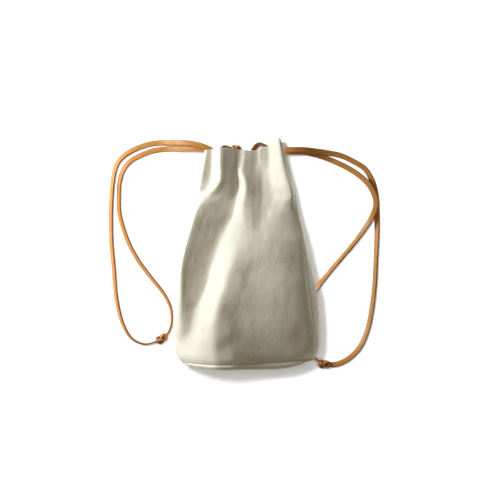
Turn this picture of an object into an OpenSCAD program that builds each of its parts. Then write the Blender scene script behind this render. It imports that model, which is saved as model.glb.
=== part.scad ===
// Drawstring bucket backpack in soft leather, with two shoulder loops of flat lace.
// It lies on its back: +Y runs from the base to the mouth, +Z from the back to the front.
// The origin is under the middle of the bag, on the surface that it lies on.

/* [Bag] */
// Width of the bag at its widest
bag_width = 254; // [230:1:280]
// Depth of the bag from back to front
bag_depth = 106; // [95:1:120]
// Thickness of the bag's leather
leather = 2; // [1.2:0.1:2.4]
// How far the base leans back, in degrees
base_lean = 6; // [3:0.5:8]
// Thickness of the base panel
base_thickness = 2.5; // [2:0.1:3]

/* [Lace] */
// Width of the flat lace
lace_width = 9.5; // [8:0.5:10]
// Thickness of the flat lace
lace_thickness = 3.2; // [2:0.1:3.4]
// Length of a woven knot
knot_length = 19; // [16:0.5:22]
// Diameter of a woven knot
knot_diameter = 15; // [13:0.5:16]

/* [Seams] */
// Diameter of the sewing thread
thread = 0.8; // [0.6:0.1:1]
// Length of one stitch
stitch_length = 4; // [3:0.5:5]
// Distance from one stitch to the next
stitch_pitch = 12; // [8:1:16]

/* [Hidden] */

cream = "#e9e6dc";
cream_inside = "#cfc8b4";
board_grey = "#8d8a84";
thread_white = "#f4f1e8";
tan_lace = "#c98a4b";
tan_dark = "#a8692f";

half_width = bag_width / 2;

// Where the base and the rim stand, along Y at the surface
base_y = -199.5;
wall_start = base_y + 2.3;
rim_y = 180;

// Shape along the bag: [place along Y, left half width, right half width, depth], as shares
profile = [
    [wall_start, 0.84, 0.84, 0.88],
    [-190, 0.91, 0.90, 0.93],
    [-180, 0.985, 0.95, 0.965],
    [-165, 1.00, 0.98, 0.99],
    [-140, 1.00, 1.00, 1.00],
    [-100, 1.00, 1.00, 0.98],
    [-60, 0.985, 0.98, 0.94],
    [-20, 0.955, 0.93, 0.885],
    [20, 0.885, 0.85, 0.81],
    [60, 0.785, 0.755, 0.715],
    [100, 0.71, 0.65, 0.605],
    [130, 0.66, 0.59, 0.52],
    [152, 0.625, 0.56, 0.46],
    [166, 0.60, 0.55, 0.425],
    [rim_y, 0.59, 0.54, 0.40]
];
stations = [for (row = profile) row[0]];

// How much of the base's lean is left at a place along Y
lean_share = [[wall_start, 1], [-60, 0]];

// How far the front rim stands beyond rim_y, across the mouth
front_rim = [[-76, -3], [-61, 2], [-50, 2], [-10, 0], [19, -1], [30, 4], [37, 8],
             [47, 18], [54, 22], [58, 22], [63, 10], [69, -2]];
back_rim_rise = -8;
rim_ramp = [[140, 0], [rim_y, 1]];

// Height of the line between front and back, and the gap there, which opens into the lace's slit
split_height = [[wall_start, 56], [150, 26], [rim_y, 22]];
split_gap = [[wall_start, 1.6], [150, 1.6], [166, 13], [rim_y, 14]];

// The section is a rounded oval, cut flat where it lies on the surface
section_power = 2.2;
flat_cut = 0.93;

front_steps = 41;
back_steps = 31;
strip_steps = 4;

// The tunnel that a facing makes for the lace
tunnel_stations = [150, 155, 160, 165, 170, 175, 179];
tunnel_in = [[150, leather + 0.1], [156, leather + 4.4], [172, leather + 4.4], [179, leather + 0.1]];
facing_thickness = 1.4;
lace_in = leather + 0.6;
front_lace_y = [159, 164, 159 + lace_width];
back_lace_y = [157, 162, 157 + lace_width];

tape_in = leather + 0.8;
tape_thickness = 1.6;
tape_angle = 7;
tape_start = wall_start + 2;
welt_thickness = 1.8;
welt_width = 5;
board_thickness = 2.2;
board_inset = 6;
gap = 0.1;

// Radius of a knot's side, as a share of its length
barrel_curve = 0.9;

mouth_lace_width = 7;
mouth_knot_length = 17;
mouth_knot_diameter = 13;
mouth_knot_place = [-20, 183, 8];

left_knot_place = [-150, -150, knot_diameter / 2 + 0.3];
left_knot_turn = 35;
right_knot_place = [136, -195, knot_diameter / 2 + 0.3];
right_knot_turn = -4;

// Routes of the laces, chosen by hand: [x, y, height of the middle, roll of the flat face]
left_outer_route = [
    [-66, 183, 25, 0], [-84, 190, 25, 0], [-106, 194, 21, 0], [-129, 195, 12, 0],
    [-150, 195, 5, 5], [-170, 193, 3, 10], [-190, 187, 3.5, 20], [-210, 177, 4.5, 30],
    [-225, 164, 5, 40], [-233, 147, 5, 45], [-237, 122, 5, 50], [-239, 95, 5, 50],
    [-240, 62, 5, 50], [-239, 20, 5, 50], [-235, -25, 5, 50], [-230, -80, 5, 55],
    [-219, -124, 5, 60], [-203, -150, 5, 70], [-180, -160, 5.5, 80], [-156, -154, 7.5, 90]
];
left_inner_route = [
    [-66, 181, 19, 0], [-90, 183, 19, 0], [-115, 184, 12, 0], [-140, 184, 4, 0],
    [-165, 181, 3, 10], [-187, 173, 3.5, 20], [-205, 163, 4.5, 30], [-217, 149, 5, 40],
    [-224, 128, 5, 50], [-226, 102, 5, 50], [-225, 72, 5, 50], [-218, 44, 5, 50],
    [-206, 13, 5, 50], [-190, -15, 5, 50], [-168, -44, 5, 55], [-147, -71, 5, 60],
    [-135, -96, 5, 70], [-133, -121, 5.5, 80], [-138, -138, 6.5, 90], [-145, -147, 7.5, 90]
];
right_outer_route = [
    [60, 182, 25, 0], [80, 182, 25, 0], [100, 182, 21, 0], [121, 180, 13, 0],
    [144, 177, 6.5, 0], [167, 172, 3.5, 5], [188, 162, 3, 15], [208, 149, 3, 15],
    [221, 127, 3, 15], [227, 104, 3, 15], [229, 75, 3, 15], [229, 35, 4.5, 35],
    [227, -10, 5, 50], [225, -52, 5, 50], [220, -97, 5, 55], [212, -135, 5, 65],
    [198, -166, 5, 75], [178, -186, 5, 85], [158, -195, 6, 90], [142, -196, 7.5, 90]
];
right_inner_route = [
    [60, 179, 19, 0], [80, 178, 19, 0], [100, 178, 15, 0], [121, 174, 7, 0],
    [142, 167, 2.5, 0], [163, 158, 2.5, 5], [184, 147, 3.5, 15], [202, 134, 6, 15],
    [215, 120, 9, 15], [223, 106, 9.5, 15], [227, 89, 9.5, 15], [223, 72, 9.5, 15],
    [214, 54, 7, 30], [190, 20, 5, 50], [155, -21, 5, 50], [124, -60, 4.5, 40],
    [105, -92, 3, 15], [98, -130, 3, 15], [103, -168, 3.5, 20], [129, -193, 7.5, 80]
];
mouth_left_route = [
    [-50, 173, 9, 60], [-46, 181, 10, 60], [-39, 185, 10, 60], [-32, 182, 10, 60], [-28, 181, 9, 60]
];
mouth_right_route = [
    [8, 172, 9, 60], [13, 183, 10, 60], [22, 189, 10, 60], [31, 183, 10, 60], [36, 172, 9, 60]
];

function signed_power(value, power) = sign(value) * pow(abs(value), power);
function column(table, n) = [for (row = table) [row[0], row[n]]];
function unit(v) = v / norm(v);

function half_at(y, side) = half_width * lookup(y, column(profile, side < 0 ? 1 : 2));
function depth_at(y) = bag_depth * lookup(y, column(profile, 3));
function radius_at(y) = depth_at(y) / (1 + flat_cut);
function middle_at(y) = radius_at(y) * flat_cut;
function lean_at(y) = tan(base_lean) * lookup(y, lean_share);

// Angle round the section, from the right side upwards, at which it reaches a height
function angle_at(y, height) =
    asin(signed_power((height - middle_at(y)) / radius_at(y), section_power / 2));

function front_start(y) = angle_at(y, lookup(y, split_height) + lookup(y, split_gap) / 2);
function back_start(y) = angle_at(y, lookup(y, split_height) - lookup(y, split_gap) / 2);

function rim_rise(x, front) =
    front ? lookup(x, front_rim) : back_rim_rise;

// A point of the bag: at a place along Y, an angle round the section and a depth under the skin
function bag_point(y, angle, inset, front) =
    let (c = cos(angle), s = sin(angle), power = 2 / section_power,
         x = (half_at(y, c) - inset) * signed_power(c, power),
         z = max(inset, middle_at(y) + (radius_at(y) - inset) * signed_power(s, power)))
    [x, y + lean_at(y) * z + lookup(y, rim_ramp) * rim_rise(x, front), z];

function cut(quad) = [[quad[0], quad[1], quad[2]], [quad[0], quad[2], quad[3]]];
function flatten(lists) = [for (list = lists) for (item = list) item];

// Faces of a slab whose outer grid of rows by columns is followed by its inner one
function slab_faces(rows, columns) =
    let (size = rows * columns)
    flatten([
        for (i = [0 : rows - 2], j = [0 : columns - 2])
            let (a = i * columns + j, b = a + 1, c = a + columns + 1, d = a + columns)
            each [cut([a, b, c, d]), cut([size + a, size + d, size + c, size + b])],
        for (j = [0 : columns - 2])
            let (a = j, b = (rows - 1) * columns + j)
            each [cut([a, size + a, size + a + 1, a + 1]), cut([b, b + 1, size + b + 1, size + b])],
        for (i = [0 : rows - 2])
            let (a = i * columns, b = a + columns, c = a + columns - 1, d = b + columns - 1)
            each [cut([a, b, size + b, size + a]), cut([c, size + c, size + d, d])]
    ]);

// A piece of shell between two depths under the bag's skin. ends[i] = [first, last] angle at ys[i]
module shell(ys, ends, outer, inner, columns, front) {
    function grid(depths) = [
        for (i = [0 : len(ys) - 1], j = [0 : columns - 1])
            bag_point(ys[i], ends[i][0] + (ends[i][1] - ends[i][0]) * j / (columns - 1), depths[i], front)
    ];
    polyhedron(concat(grid(outer), grid(inner)), slab_faces(len(ys), columns), convexity = 10);
}

function all_alike(ys, value) = [for (y = ys) value];
function front_ends(ys) = [for (y = ys) [front_start(y), 180 - front_start(y)]];
function back_ends(ys) = [for (y = ys) [180 - back_start(y), 360 + back_start(y)]];

// Eight-sided outline of the lace, round its middle
function lace_outline(width, thickness) =
    let (w = width / 2, t = thickness / 2, c = thickness / 4)
    [[w, c - t], [w, t - c], [w - c, t], [c - w, t], [-w, t - c], [-w, c - t], [c - w, -t], [w - c, -t]];

function tube_faces(rings, sides) = concat(
    [[for (j = [0 : sides - 1]) j]],
    [[for (j = [sides - 1 : -1 : 0]) (rings - 1) * sides + j]],
    flatten([
        for (i = [0 : rings - 2], j = [0 : sides - 1])
            let (a = i * sides + j, b = i * sides + (j + 1) % sides)
            cut([a, a + sides, b + sides, b])
    ])
);

function tube_ring(route, i, outline) =
    let (last = len(route) - 1, here = route[i], before = route[max(i - 1, 0)], after = route[min(i + 1, last)],
         along = unit([after[0] - before[0], after[1] - before[1], after[2] - before[2]]),
         across = unit(cross([0, 0, 1], along)), up = cross(along, across), roll = here[3])
    [for (p = outline)
        let (u = p[0] * cos(roll) - p[1] * sin(roll), v = p[0] * sin(roll) + p[1] * cos(roll))
        [here[0], here[1], here[2]] + u * across + v * up];

module flat_lace(route, width) {
    outline = lace_outline(width, lace_thickness);
    points = flatten([for (i = [0 : len(route) - 1]) tube_ring(route, i, outline)]);
    polyhedron(points, tube_faces(len(route), len(outline)), convexity = 10);
}

// A barrel along X
module barrel(length, diameter) {
    rotate([0, 90, 0])
        rotate_extrude($fn = 48)
            intersection() {
                translate([0, -length / 2]) square([diameter / 2, length]);
                translate([diameter / 2 - barrel_curve * length, 0]) circle(r = barrel_curve * length, $fn = 96);
            }
}

module rod(from, to, radius) {
    v = to - from;
    translate(from)
        rotate([0, acos(v[2] / norm(v)), atan2(v[1], v[0])])
            cylinder(h = norm(v), r = radius, $fn = 16);
}

// Outline of the base, in its own leaning plane
function base_outline(inset) = [
    for (a = [0 : 6 : 354])
        let (p = bag_point(wall_start, a, inset, true))
        [p[0], p[2] / cos(base_lean)]
];

// Children stand on the base's inner face, with their +Z pointing out of the bag
module on_base(out) {
    translate([0, base_y, 0])
        rotate([90 - base_lean, 0, 0])
            translate([0, 0, out]) children();
}

module front_panel() {
    color(cream)
        shell(stations, front_ends(stations), all_alike(stations, 0), all_alike(stations, leather),
              front_steps, true);
}

module back_panel() {
    color(cream)
        shell(stations, back_ends(stations), all_alike(stations, 0), all_alike(stations, leather),
              back_steps, false);
}

module base_panel() {
    color(cream) on_base(0) linear_extrude(base_thickness) polygon(base_outline(0));
}

module base_welt() {
    color(cream_inside)
        on_base(-welt_thickness - gap)
            linear_extrude(welt_thickness)
                difference() {
                    polygon(base_outline(0));
                    polygon(base_outline(welt_width));
                }
}

module base_board() {
    color(board_grey)
        on_base(-board_thickness - gap) linear_extrude(board_thickness) polygon(base_outline(board_inset));
}

module rim_facing(front) {
    ys = tunnel_stations;
    outer = [for (y = ys) lookup(y, tunnel_in)];
    inner = [for (depth = outer) depth + facing_thickness];
    ends = front ? front_ends(ys) : back_ends(ys);
    color(cream_inside) shell(ys, ends, outer, inner, front ? front_steps : back_steps, front);
}

module front_rim_facing() { rim_facing(true); }
module back_rim_facing() { rim_facing(false); }

// The tape lies inside the back panel, just under the split
module seam_tape(left) {
    ys = concat([tape_start], [for (y = stations) if (y > tape_start && y < 150) y]);
    ends = [for (y = ys) left
        ? [180 - back_start(y), 180 - back_start(y) + tape_angle]
        : [back_start(y) - tape_angle, back_start(y)]];
    color(cream_inside)
        shell(ys, ends, all_alike(ys, tape_in), all_alike(ys, tape_in + tape_thickness), strip_steps, false);
}

module left_seam_tape() { seam_tape(true); }
module right_seam_tape() { seam_tape(false); }

module neck_lace(ys, ends, front) {
    color(tan_lace)
        shell(ys, ends, all_alike(ys, lace_in), all_alike(ys, lace_in + lace_thickness), back_steps, front);
}

module front_neck_lace() { neck_lace(front_lace_y, front_ends(front_lace_y), true); }
module back_neck_lace() { neck_lace(back_lace_y, back_ends(back_lace_y), false); }

module mouth_lace_left() { color(tan_lace) flat_lace(mouth_left_route, mouth_lace_width); }
module mouth_lace_right() { color(tan_lace) flat_lace(mouth_right_route, mouth_lace_width); }
module mouth_knot() {
    color(tan_dark) translate(mouth_knot_place) barrel(mouth_knot_length, mouth_knot_diameter);
}

module left_outer_strand() { color(tan_lace) flat_lace(left_outer_route, lace_width); }
module left_inner_strand() { color(tan_lace) flat_lace(left_inner_route, lace_width); }
module right_outer_strand() { color(tan_lace) flat_lace(right_outer_route, lace_width); }
module right_inner_strand() { color(tan_lace) flat_lace(right_inner_route, lace_width); }

module left_knot() {
    color(tan_dark) translate(left_knot_place) rotate([0, 0, left_knot_turn]) barrel(knot_length, knot_diameter);
}

module right_knot() {
    color(tan_dark) translate(right_knot_place) rotate([0, 0, right_knot_turn]) barrel(knot_length, knot_diameter);
}

// Stitches round the welt, on its inner face
module base_stitches() {
    lift = (welt_thickness + 2 * gap + thread / 2) / cos(base_lean);
    function stitch_point(angle) =
        bag_point(wall_start, angle, welt_width / 2 + leather / 2 + 1, true)
        + [0, lift + base_y - wall_start, 0];
    color(thread_white)
        for (a = [0 : 7.5 : 352.5])
            rod(stitch_point(a), stitch_point(a + 3), thread / 2);
}

// Stitches along Y on the inner face of a seam tape
module seam_stitches(left) {
    depth = tape_in + tape_thickness + gap + thread / 2;
    color(thread_white)
        for (y = [-180 : stitch_pitch : 120]) {
            from_angle = left ? 180 - back_start(y) + tape_angle / 2 : back_start(y) - tape_angle / 2;
            end = y + stitch_length;
            to_angle = left ? 180 - back_start(end) + tape_angle / 2 : back_start(end) - tape_angle / 2;
            rod(bag_point(y, from_angle, depth, false), bag_point(end, to_angle, depth, false), thread / 2);
        }
}

module left_seam_stitches() { seam_stitches(true); }
module right_seam_stitches() { seam_stitches(false); }

// Stitches round the neck, on the inner face of a facing's lower edge
module facing_stitches(front) {
    y = tunnel_stations[0] + 1.5;
    depth = lookup(y, tunnel_in) + facing_thickness + 0.6 + thread / 2;
    first = front ? front_start(y) : 180 - back_start(y);
    last = front ? 180 - front_start(y) : 360 + back_start(y);
    step = (last - first) / 16;
    color(thread_white)
        for (a = [first + step / 2 : step : last - step / 2])
            rod(bag_point(y, a, depth, front), bag_point(y, a + step * 0.4, depth, front), thread / 2);
}

module front_facing_stitches() { facing_stitches(true); }
module back_facing_stitches() { facing_stitches(false); }

front_panel();
back_panel();
base_panel();
base_board();
base_welt();
front_rim_facing();
back_rim_facing();
left_seam_tape();
right_seam_tape();
front_neck_lace();
back_neck_lace();
mouth_lace_left();
mouth_lace_right();
mouth_knot();
base_stitches();
left_seam_stitches();
right_seam_stitches();
front_facing_stitches();
back_facing_stitches();
left_outer_strand();
left_inner_strand();
left_knot();
right_outer_strand();
right_inner_strand();
right_knot();
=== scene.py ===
"""A drawstring bucket backpack in soft cream leather, lying on its back, with two loops of flat tan lace.

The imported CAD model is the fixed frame. The pieces' lengths are in millimetres and become metres as a mesh is
made.
"""

import math

import bpy
import numpy as np
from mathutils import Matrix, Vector, noise


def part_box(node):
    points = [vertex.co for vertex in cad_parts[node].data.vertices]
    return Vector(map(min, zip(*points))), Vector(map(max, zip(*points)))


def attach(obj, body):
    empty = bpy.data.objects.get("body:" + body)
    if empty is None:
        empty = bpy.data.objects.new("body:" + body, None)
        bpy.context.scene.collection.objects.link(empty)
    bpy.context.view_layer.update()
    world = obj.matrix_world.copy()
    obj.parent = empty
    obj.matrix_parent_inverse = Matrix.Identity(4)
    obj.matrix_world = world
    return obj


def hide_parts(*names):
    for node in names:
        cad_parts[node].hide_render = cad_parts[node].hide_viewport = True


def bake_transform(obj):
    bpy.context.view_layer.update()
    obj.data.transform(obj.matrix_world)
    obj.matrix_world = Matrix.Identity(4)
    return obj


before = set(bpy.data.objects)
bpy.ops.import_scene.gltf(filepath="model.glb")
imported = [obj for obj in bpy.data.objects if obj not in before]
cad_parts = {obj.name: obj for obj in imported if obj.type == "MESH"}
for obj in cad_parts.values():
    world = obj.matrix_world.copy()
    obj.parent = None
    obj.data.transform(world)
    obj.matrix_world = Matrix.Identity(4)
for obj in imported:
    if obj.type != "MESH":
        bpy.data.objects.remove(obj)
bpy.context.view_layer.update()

MM = 0.001
LEATHER = 1.8
LACE_WIDTH = 9.5
LACE_THICKNESS = 3.2


# ---- camera

VIEW_WIDTH = 0.875
VIEW_CENTRE = (0.0053, 0.0061)
VIEW_HEIGHT = 3.6
VIEW_PLANE = 0.03


def make_camera():
    """Looks straight down, with +Y up in the picture."""
    data = bpy.data.cameras.new("camera")
    data.sensor_width = 36
    data.lens = data.sensor_width * (VIEW_HEIGHT - VIEW_PLANE) / VIEW_WIDTH
    camera = bpy.data.objects.new("camera", data)
    camera.location = (*VIEW_CENTRE, VIEW_HEIGHT)
    bpy.context.scene.collection.objects.link(camera)
    bpy.context.scene.camera = camera


# ---- mesh helpers


def monotone(keys, values, at):
    """Smooth curve through values at keys, with no overshoot. values is (n, m), the result (len(at), m)."""
    keys = np.asarray(keys, float)
    values = np.asarray(values, float).reshape(len(keys), -1)
    gaps = np.diff(keys)[:, None]
    slopes = np.diff(values, axis=0) / gaps
    tangents = np.zeros_like(values)
    tangents[0] = slopes[0]
    tangents[-1] = slopes[-1]
    same_way = slopes[:-1] * slopes[1:] > 0
    weight_a = 2 * gaps[1:] + gaps[:-1]
    weight_b = gaps[1:] + 2 * gaps[:-1]
    with np.errstate(divide="ignore", invalid="ignore"):
        inner = (weight_a + weight_b) / (weight_a / slopes[:-1] + weight_b / slopes[1:])
    tangents[1:-1] = np.where(same_way, inner, 0)
    at = np.clip(np.asarray(at, float), keys[0], keys[-1])
    i = np.clip(np.searchsorted(keys, at, side="right") - 1, 0, len(keys) - 2)
    gap = gaps[i]
    t = ((at - keys[i]) / gap[:, 0])[:, None]
    return (
        (2 * t**3 - 3 * t**2 + 1) * values[i]
        + (t**3 - 2 * t**2 + t) * gap * tangents[i]
        + (3 * t**2 - 2 * t**3) * values[i + 1]
        + (t**3 - t**2) * gap * tangents[i + 1]
    )


def new_piece(name, points, faces, material, uvs=None):
    """A smooth-shaded mesh object. points are in mm; uvs has one pair for each corner of each face."""
    mesh = bpy.data.meshes.new(name)
    mesh.from_pydata([tuple(p) for p in np.asarray(points) * MM], [], faces)
    mesh.update()
    mesh.shade_smooth()
    if uvs is not None:
        layer = mesh.uv_layers.new(name="UVMap")
        layer.data.foreach_set("uv", np.asarray(uvs, np.float32).ravel())
    mesh.materials.append(material)
    piece = bpy.data.objects.new(name, mesh)
    bpy.context.scene.collection.objects.link(piece)
    return piece


def unit(vectors):
    lengths = np.linalg.norm(vectors, axis=-1, keepdims=True)
    return vectors / np.maximum(lengths, 1e-9)


def between(t, start, end, first, last):
    """The value at t on the line from first at start to last at end."""
    return (end - t) / (end - start) * first + (t - start) / (end - start) * last


def curve_through(points, step):
    """Even points about step apart on a smooth curve through the given ones. Every column is carried."""
    points = np.asarray(points, float)
    place = points[:, :3]
    chord = np.concatenate([[0], np.cumsum(np.sqrt(np.linalg.norm(np.diff(place, axis=0), axis=1)))])
    padded = np.vstack([2 * points[0] - points[1], points, 2 * points[-1] - points[-2]])
    knots = np.concatenate([[chord[0] - (chord[1] - chord[0])], chord, [chord[-1] + (chord[-1] - chord[-2])]])
    dense = []
    for i in range(1, len(padded) - 2):
        t0, t1, t2, t3 = knots[i - 1 : i + 3]
        p0, p1, p2, p3 = padded[i - 1 : i + 3]
        for t in np.linspace(t1, t2, 24, endpoint=False):
            a1 = between(t, t0, t1, p0, p1)
            a2 = between(t, t1, t2, p1, p2)
            a3 = between(t, t2, t3, p2, p3)
            b1 = between(t, t0, t2, a1, a2)
            b2 = between(t, t1, t3, a2, a3)
            dense.append(between(t, t1, t2, b1, b2))
    dense.append(points[-1])
    dense = np.array(dense)
    along = np.concatenate([[0], np.cumsum(np.linalg.norm(np.diff(dense[:, :3], axis=0), axis=1))])
    count = max(4, int(round(along[-1] / step)) + 1)
    at = np.linspace(0, along[-1], count)
    return np.stack([np.interp(at, along, dense[:, k]) for k in range(dense.shape[1])], axis=1)


def rounded_bar(width, thickness, corner_steps=3, crown=0.0):
    """Outline of a flat lace with round edges, and for each point how much it is an edge, from 0 to 1."""
    half_w = width / 2
    half_t = thickness / 2
    radius = half_t * 0.62
    outline = []
    edge = []
    for cx, cy, start in (
        (half_w - radius, half_t - radius, 0),
        (radius - half_w, half_t - radius, 90),
        (radius - half_w, radius - half_t, 180),
        (half_w - radius, radius - half_t, 270),
    ):
        for k in range(corner_steps + 1):
            angle = math.radians(start + 90 * k / corner_steps)
            outline.append((cx + radius * math.cos(angle), cy + radius * math.sin(angle)))
            edge.append(abs(math.cos(angle)) ** 1.5)
        if start in (0, 180):
            way = 1 if start == 0 else -1
            for share in (0.5, 0.0, -0.5):
                outline.append((way * share * (half_w - radius), way * (half_t + crown * (1 - abs(share)))))
                edge.append(0.0)
    return np.array(outline), np.array(edge)


def sweep(name, centres, across, up, outline, edge, material, closed=False):
    """A solid swept along centres. outline lies in the plane of across and up. UV runs round, then along."""
    sideways = outline[None, :, :1] * across[:, None, :]
    upward = outline[None, :, 1:] * up[:, None, :]
    rings = centres[:, None, :] + sideways + upward
    count, sides = rings.shape[:2]
    points = rings.reshape(-1, 3)
    along = np.concatenate([[0], np.cumsum(np.linalg.norm(np.diff(centres, axis=0), axis=1))])
    step = along[-1] / (count - 1)
    faces = []
    uvs = []
    for i in range(count if closed else count - 1):
        after = (i + 1) % count
        start = along[i] * MM
        end = start + step * MM if closed else along[i + 1] * MM
        for j in range(sides):
            k = (j + 1) % sides
            faces.append((i * sides + j, i * sides + k, after * sides + k, after * sides + j))
            uvs += [(j / sides, start), ((j + 1) / sides, start), ((j + 1) / sides, end), (j / sides, end)]
    if not closed:
        faces.append(tuple(range(sides - 1, -1, -1)))
        faces.append(tuple((count - 1) * sides + j for j in range(sides)))
        uvs += [(j / sides, 0) for j in range(2 * sides)]
    piece = new_piece(name, points, faces, material, uvs)
    shade = piece.data.attributes.new("edge", "FLOAT", "POINT")
    shade.data.foreach_set("value", np.tile(edge, count).astype(np.float32))
    return piece


def frames_along(centres, roll_degrees):
    """Directions across and up for a lace: level where the roll is 0, else turned about its own line."""
    ahead = unit(np.gradient(centres, axis=0))
    across = unit(np.cross(np.array([0, 0, 1.0]), ahead))
    up = np.cross(ahead, across)
    roll = np.radians(roll_degrees)[:, None]
    return across * np.cos(roll) + up * np.sin(roll), up * np.cos(roll) - across * np.sin(roll)


# ---- material helpers


class Nodes:
    """Short ways to add shader nodes to one material."""

    def __init__(self, name):
        self.material = bpy.data.materials.new(name)
        self.material.use_nodes = True
        self.tree = self.material.node_tree
        self.shader = self.tree.nodes["Principled BSDF"]

    def add(self, kind, **values):
        node = self.tree.nodes.new(kind)
        for key, value in values.items():
            if key in node.inputs:
                node.inputs[key].default_value = value
            else:
                setattr(node, key, value)
        return node

    def link(self, source, target):
        self.tree.links.new(source, target)

    def feed(self, value, target):
        """Gives an input another node's output, a colour or a number."""
        if isinstance(value, bpy.types.NodeSocket):
            self.link(value, target)
        elif isinstance(value, tuple):
            target.default_value = (*value, 1)
        else:
            target.default_value = value

    def coordinates(self, scale=(1, 1, 1), output="Object"):
        place = self.add("ShaderNodeTexCoord")
        mapping = self.add("ShaderNodeMapping", Scale=scale)
        self.link(place.outputs[output], mapping.inputs["Vector"])
        return mapping.outputs["Vector"]

    def noise(self, vector, scale, detail=3.0, roughness=0.55):
        node = self.add("ShaderNodeTexNoise", Scale=scale, Detail=detail, Roughness=roughness)
        self.link(vector, node.inputs["Vector"])
        return node.outputs["Fac"]

    def cells(self, vector, scale):
        node = self.add("ShaderNodeTexVoronoi", feature="SMOOTH_F1", Scale=scale, Smoothness=0.6)
        self.link(vector, node.inputs["Vector"])
        return node.outputs["Distance"]

    def stretch(self, value, low, high, to_low=0.0, to_high=1.0):
        ends = {"From Min": low, "From Max": high, "To Min": to_low, "To Max": to_high}
        node = self.add("ShaderNodeMapRange", **ends)
        self.link(value, node.inputs["Value"])
        return node.outputs["Result"]

    def blend(self, share, low, high):
        node = self.add("ShaderNodeMix", data_type="RGBA")
        self.feed(low, node.inputs[6])
        self.feed(high, node.inputs[7])
        self.link(share, node.inputs[0])
        return node.outputs[2]

    def maths(self, operation, first, second):
        node = self.add("ShaderNodeMath", operation=operation)
        self.feed(first, node.inputs[0])
        self.feed(second, node.inputs[1])
        return node.outputs[0]

    def attribute(self, name):
        return self.add("ShaderNodeAttribute", attribute_name=name).outputs["Fac"]

    def bump(self, height, distance, strength=1.0, below=None):
        node = self.add("ShaderNodeBump", Strength=strength, Distance=distance)
        self.link(height, node.inputs["Height"])
        if below is not None:
            self.link(below, node.inputs["Normal"])
        return node.outputs["Normal"]

    def finish(self, colour, roughness, normal=None, **fixed):
        self.link(colour, self.shader.inputs["Base Color"])
        self.feed(roughness, self.shader.inputs["Roughness"])
        if normal is not None:
            self.link(normal, self.shader.inputs["Normal"])
        for name, value in fixed.items():
            self.shader.inputs[name.replace("_", " ")].default_value = value
        return self.material


def cream_leather():
    """Soft full-grain leather: a fine pebble, faint long creases and slow changes of tone."""
    n = Nodes("cream_leather")
    place = n.coordinates()
    lengthwise = n.coordinates((1, 0.22, 1))
    slow = n.noise(place, 11.0, 3.0)
    mottle = n.noise(place, 75.0, 5.0, 0.6)
    streaks = n.noise(lengthwise, 240.0, 4.0, 0.6)
    pebble = n.cells(place, 620.0)
    pores = n.noise(place, 1900.0, 2.0)
    tone = n.blend(n.stretch(slow, 0.35, 0.68), (0.70, 0.665, 0.545), (0.745, 0.715, 0.60))
    tone = n.blend(n.stretch(mottle, 0.38, 0.66, 0.0, 0.30), tone, (0.62, 0.585, 0.47))
    tone = n.blend(n.stretch(streaks, 0.35, 0.75, 0.0, 0.20), tone, (0.60, 0.56, 0.44))
    tone = n.blend(n.stretch(pebble, 0.0, 0.25, 0.16, 0.0), tone, (0.56, 0.52, 0.41))
    relief = n.maths("ADD", pebble, n.maths("MULTIPLY", pores, 0.35))
    normal = n.bump(mottle, 0.0016, 0.45)
    normal = n.bump(streaks, 0.0005, 0.40, normal)
    normal = n.bump(relief, 0.00022, 0.55, normal)
    roughness = n.stretch(slow, 0.3, 0.7, 0.46, 0.58)
    return n.finish(tone, roughness, normal, Specular_IOR_Level=0.42)


def flesh_side():
    """The inner side of the leather: matte and fibrous."""
    n = Nodes("flesh_side")
    place = n.coordinates()
    fibre = n.noise(place, 900.0, 5.0, 0.7)
    slow = n.noise(place, 30.0)
    tone = n.blend(n.stretch(slow, 0.3, 0.7), (0.60, 0.53, 0.40), (0.68, 0.61, 0.48))
    tone = n.blend(n.stretch(fibre, 0.4, 0.75, 0.0, 0.4), tone, (0.48, 0.41, 0.30))
    return n.finish(tone, 0.9, n.bump(fibre, 0.0004, 0.6), Specular_IOR_Level=0.2)


def tan_lace(name, light, deep, edge):
    """Natural vegetable-tanned lace: long fibres, a burnished face and darker cut edges."""
    n = Nodes(name)
    along = n.coordinates((9, 26, 1), "UV")
    fine = n.coordinates((46, 34, 1), "UV")
    place = n.coordinates()
    bands = n.noise(along, 2.2, 4.0, 0.6)
    fibres = n.noise(fine, 3.0, 4.0, 0.65)
    pores = n.cells(place, 1500.0)
    tone = n.blend(n.stretch(bands, 0.3, 0.72), deep, light)
    tone = n.blend(n.stretch(fibres, 0.45, 0.8, 0.0, 0.35), tone, deep)
    side = n.attribute("edge")
    worn = n.maths("MULTIPLY", side, n.stretch(fibres, 0.2, 0.7, 0.75, 1.0))
    tone = n.blend(worn, tone, edge)
    normal = n.bump(fibres, 0.00025, 0.5)
    normal = n.bump(pores, 0.00008, 0.5, normal)
    roughness = n.stretch(side, 0.0, 1.0, 0.44, 0.66)
    return n.finish(tone, roughness, normal, Specular_IOR_Level=0.32, Coat_Weight=0.05, Coat_Roughness=0.3)


def leatherboard():
    n = Nodes("leatherboard")
    place = n.coordinates()
    flecks = n.noise(place, 1400.0, 4.0, 0.7)
    slow = n.noise(place, 25.0)
    tone = n.blend(n.stretch(flecks, 0.35, 0.7), (0.19, 0.175, 0.15), (0.31, 0.29, 0.25))
    tone = n.blend(n.stretch(slow, 0.3, 0.7, 0.0, 0.3), tone, (0.24, 0.22, 0.19))
    return n.finish(tone, 0.85, n.bump(flecks, 0.0002, 0.5), Specular_IOR_Level=0.25)


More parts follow.
